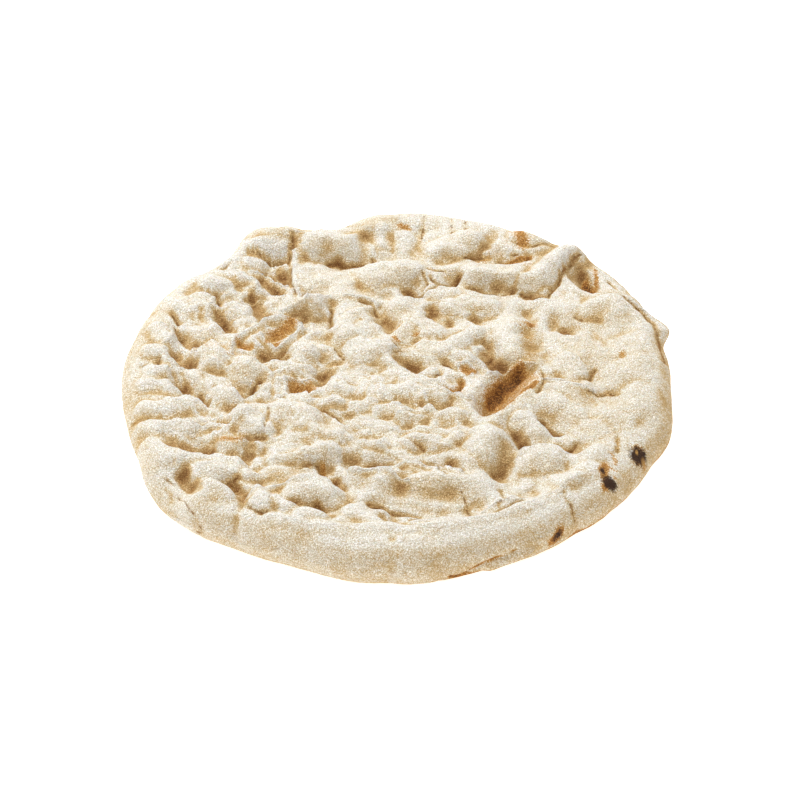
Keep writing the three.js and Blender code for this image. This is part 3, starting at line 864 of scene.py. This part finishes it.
class Nodes:
    def __init__(self, tree):
        self.tree = tree

    def add(self, kind, inputs=None, **values):
        node = self.tree.nodes.new(kind)
        for key, value in values.items():
            setattr(node, key, value)
        for key, value in (inputs or {}).items():
            if isinstance(value, bpy.types.NodeSocket):
                self.tree.links.new(value, node.inputs[key])
            else:
                node.inputs[key].default_value = value
        return node

    def math(self, operation, a, b, clamp=False):
        return self.add("ShaderNodeMath", {0: a, 1: b}, operation=operation, use_clamp=clamp).outputs[0]

    # weighted sum of several masks
    def sum(self, *shares):
        total = 0.0
        for value, share in shares:
            inputs = {0: value, 1: share, 2: total}
            total = self.add("ShaderNodeMath", inputs, operation="MULTIPLY_ADD").outputs[0]
        return total

    def mask(self, name):
        return self.add("ShaderNodeAttribute", attribute_name=name).outputs["Fac"]

    def grain(self, place, size, detail, roughness=0.5):
        inputs = {"Vector": place, "Scale": 1 / (size * mm), "Detail": detail, "Roughness": roughness}
        return self.add("ShaderNodeTexNoise", inputs).outputs["Fac"]

    # thin line along the strokes of that name, with a half width in mm: 1 on the line
    def line(self, name, halfWidth):
        across = self.math("ABSOLUTE", self.mask(name + "Side"), 0.0)
        thin = self.ramp(across, halfWidth, 0.3 * halfWidth)
        return self.math("MULTIPLY", thin, self.ramp(self.mask(name + "Far"), halfWidth + 0.8, halfWidth))

    # strongest of several round spots at a place: its strength at the centre, 0 at its edge
    def spots(self, place, spots):
        total = 0.0
        for centre, reach, strength in spots:
            scale = [1 / (side * mm) for side in reach]
            shift = [-middle / side for middle, side in zip(centre, reach)]
            inputs = {0: place, 1: scale, 2: shift}
            offset = self.add("ShaderNodeVectorMath", inputs, operation="MULTIPLY_ADD").outputs[0]
            far = self.add("ShaderNodeVectorMath", {0: offset}, operation="LENGTH").outputs["Value"]
            inside = self.math("MULTIPLY", self.math("SUBTRACT", 1.0, far, True), strength)
            total = self.math("MAXIMUM", total, inside)
        return total

    def ramp(self, value, low, high, kind="SMOOTHSTEP"):
        inputs = {"Value": value, "From Min": low, "From Max": high}
        return self.add("ShaderNodeMapRange", inputs, interpolation_type=kind).outputs["Result"]

    # thin lines that run on at random: 1 on a line
    def folds(self, place, size):
        wave = self.grain(place, size, 2)
        return self.ramp(self.math("ABSOLUTE", self.math("SUBTRACT", wave, 0.5), 0.0), 0.05, 0.0)

    # scale of named colours, by place from 0 to 1
    def scale(self, value, colours, stops):
        node = self.add("ShaderNodeValToRGB", {"Fac": value})
        elements = node.color_ramp.elements
        places = sorted(stops)
        for stop in places[1:-1]:
            elements.new(stop).color = colours[stops[stop]]
        elements[0].color = colours[stops[places[0]]]
        elements[-1].color = colours[stops[places[-1]]]
        return node.outputs["Color"]

    def mix(self, share, a, b, blend="MIX"):
        node = self.add("ShaderNodeMix", data_type="RGBA", blend_type=blend)
        for socket, value in ((node.inputs[0], share), (node.inputs[6], a), (node.inputs[7], b)):
            if isinstance(value, bpy.types.NodeSocket):
                self.tree.links.new(value, socket)
            else:
                socket.default_value = value
        return node.outputs[2]


crustSettings = {
    "patchSize": 28.0,  # sizes of the grain, from patches of flour to single grains, mm
    "mottleSize": 3.6,
    "grainSize": 1.2,
    "dustSize": 0.85,
    "fineSize": 0.5,
    "foldSize": 7.0,
    "wrinkleSize": 3.0,
    "foldStretch": (0.6, 1, 1),  # folds are wider than deep
    "creaseWidth": 0.6,  # half widths of the thin lines, mm
    "ridgeWidth": 0.9,
    "speckShade": (0.63, 0.595, 0.54, 1),
    "roughness": 0.9,
    "specular": 0.25,
    "subsurface": 0.12,
    "subsurfaceRadius": (1.0, 0.6, 0.35),
    "subsurfaceScale": 1.5,  # mm
    "bumpHeight": 1.4,  # mm
}


def crustMaterial(colours, settings):
    material = bpy.data.materials.new("flouredCrust")
    material.use_nodes = True
    nodes = Nodes(material.node_tree)
    shader = material.node_tree.nodes["Principled BSDF"]
    place = nodes.add("ShaderNodeTexCoord").outputs["Object"]

    patches = nodes.grain(place, settings["patchSize"], 3)
    mottle = nodes.grain(place, settings["mottleSize"], 3, 0.6)
    grain = nodes.grain(place, settings["grainSize"], 2, 0.6)
    dust = nodes.grain(place, settings["dustSize"], 2, 0.8)
    fine = nodes.grain(place, settings["fineSize"], 1)
    stretch = {0: place, 1: settings["foldStretch"]}
    wide = nodes.add("ShaderNodeVectorMath", stretch, operation="MULTIPLY").outputs[0]
    folds = nodes.folds(wide, settings["foldSize"])
    wrinkles = nodes.folds(wide, settings["wrinkleSize"])
    hollow = nodes.mask("hollow")
    shade = nodes.mask("shade")
    pore = nodes.mask("pore")
    side = nodes.mask("side")
    pit = nodes.mask("pit")
    bare = nodes.mask("bare")
    toast = nodes.mask("toast")
    char = nodes.spots(place, charSpots)

    # from white flour on the crests to golden slopes and tan hollows, broken up by wrinkles and grains;
    # the lighter crests are partly painted highlight, and the darker front-facing slopes, hollows, pits
    # and crust wall partly painted shade
    level = nodes.sum(
        (shade, 0.75), (hollow, 0.2), (pit, 0.25), (bare, 0.35), (pore, 0.3), (side, 0.1),
        (nodes.mask("crest"), -0.3), (nodes.math("MULTIPLY", side, mottle), 0.5),
        (patches, 0.35), (mottle, 0.2), (grain, 0.15), (dust, 0.6), (fine, 0.9),
    )
    colour = nodes.scale(nodes.ramp(level, 0.97, 2.46, "LINEAR"), colours, {
        0: "flour", 0.19: "cream", 0.375: "golden", 0.6: "tan", 0.77: "pit", 1: "deep",
    })

    # creases end in a thin brown line, partly browner dough and partly painted shade; ridges in a thin
    # white one, partly flour and partly painted highlight
    broken = nodes.ramp(mottle, 0.42, 0.62)
    creaseLine = nodes.math("MULTIPLY", nodes.line("crease", settings["creaseWidth"]), broken)
    ridgeLine = nodes.line("ridge", settings["ridgeWidth"])
    colour = nodes.mix(nodes.math("MULTIPLY", creaseLine, 0.75), colour, colours["crease"])
    colour = nodes.mix(nodes.math("MULTIPLY", ridgeLine, 0.3), colour, colours["flour"])

    # toasted spots go from orange to brown to black, with broken edges
    toastEdge = nodes.sum((toast, 1.0), (mottle, 0.4), (grain, 0.4), (dust, 0.8), (fine, 0.8))
    toasted = nodes.scale(nodes.ramp(toastEdge, 1.3, 2.3, "LINEAR"), colours, {
        0: "toastPale", 0.35: "toastLight", 0.7: "toastDark", 1: "toastBrown",
    })
    colour = nodes.mix(nodes.ramp(toastEdge, 1.3, 1.75), colour, toasted)
    charEdge = nodes.sum((char, 1.4), (mottle, 0.9), (dust, 0.7))
    colour = nodes.mix(nodes.ramp(charEdge, 1.0, 1.5), colour, colours["char"])
    emberEdge = nodes.sum((nodes.spots(place, emberSpots), 1.2), (mottle, 0.8), (dust, 0.5))
    ember = nodes.math("MULTIPLY", nodes.ramp(emberEdge, 0.95, 1.5), 0.8)
    colour = nodes.mix(ember, colour, colours["toastLight"])

    # fine grains of flour, light and dark, stronger on the crust wall and on bare skin, and on slopes
    # facing away from the light as painted shade
    speck = nodes.sum(
        (nodes.ramp(dust, 0.38, 0.62), 0.65), (nodes.ramp(fine, 0.4, 0.6), 1.2), (side, 0.3),
    )
    speck = nodes.math("MULTIPLY", speck, nodes.sum((1.0, 0.75), (shade, 0.5), (bare, 0.35)))
    colour = nodes.mix(speck, colour, settings["speckShade"], "MULTIPLY")

    material.node_tree.links.new(colour, shader.inputs["Base Color"])
    shader.inputs["Roughness"].default_value = settings["roughness"]
    shader.inputs["Specular IOR Level"].default_value = settings["specular"]
    shader.inputs["Subsurface Weight"].default_value = settings["subsurface"]
    shader.inputs["Subsurface Radius"].default_value = settings["subsurfaceRadius"]
    shader.inputs["Subsurface Scale"].default_value = settings["subsurfaceScale"] * mm
    height = nodes.sum(
        (mottle, 0.3), (grain, 0.4), (dust, 0.35), (fine, 0.3), (folds, -0.18), (wrinkles, -0.1),
        (creaseLine, -0.5), (ridgeLine, 0.2),
    )
    bump = nodes.add("ShaderNodeBump", {
        "Height": height, "Strength": 1.0, "Distance": settings["bumpHeight"] * mm,
    })
    material.node_tree.links.new(bump.outputs["Normal"], shader.inputs["Normal"])
    print("crust coloured")
    return material


floorSettings = {
    "size": 24.0,  # metres
    "colour": (0.93, 0.93, 0.93, 1),
    "roughness": 0.8,
    "glowColour": (1, 0.98, 0.95, 1),  # lifts the floor to the photo's white
    "glow": 0.7,
}


def makeFloor(settings):
    bpy.ops.mesh.primitive_plane_add(size=settings["size"])
    floor = bpy.context.object
    floor.name = "paleFloor"
    material = bpy.data.materials.new("paleFloor")
    material.use_nodes = True
    shader = material.node_tree.nodes["Principled BSDF"]
    shader.inputs["Base Color"].default_value = settings["colour"]
    shader.inputs["Roughness"].default_value = settings["roughness"]
    shader.inputs["Emission Color"].default_value = settings["glowColour"]
    shader.inputs["Emission Strength"].default_value = settings["glow"]
    floor.data.materials.append(material)


lightSettings = {
    "keyPower": 21.5,
    "keySize": 0.8,  # metres
    "keyColour": (0.93, 0.97, 1.0),
    "keyPlace": (-0.55, 0.75, 1.28),
    "worldStrength": 0.8,
    "worldColour": (1.0, 0.977, 0.945, 1),
}


def makeLights(settings):
    bpy.ops.object.light_add(type="AREA", location=settings["keyPlace"])
    key = bpy.context.object
    key.name = "softKey"
    key.data.energy = settings["keyPower"]
    key.data.size = settings["keySize"]
    key.data.color = settings["keyColour"]
    key.rotation_mode = "QUATERNION"
    key.rotation_quaternion = Vector(settings["keyPlace"]).to_track_quat("Z", "Y")
    world = bpy.data.worlds.new("studio")
    bpy.context.scene.world = world
    world.use_nodes = True
    world.node_tree.nodes["Background"].inputs["Color"].default_value = settings["worldColour"]
    world.node_tree.nodes["Background"].inputs["Strength"].default_value = settings["worldStrength"]
    bpy.context.scene.view_settings.view_transform = "Standard"


makeCamera(viewSettings)
bread = makeBread(breadSettings)
bread.data.materials.append(crustMaterial(crustColours, crustSettings))
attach(bread, "root")
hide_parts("bread")
makeFloor(floorSettings)
makeLights(lightSettings)
print("floor and lights set")
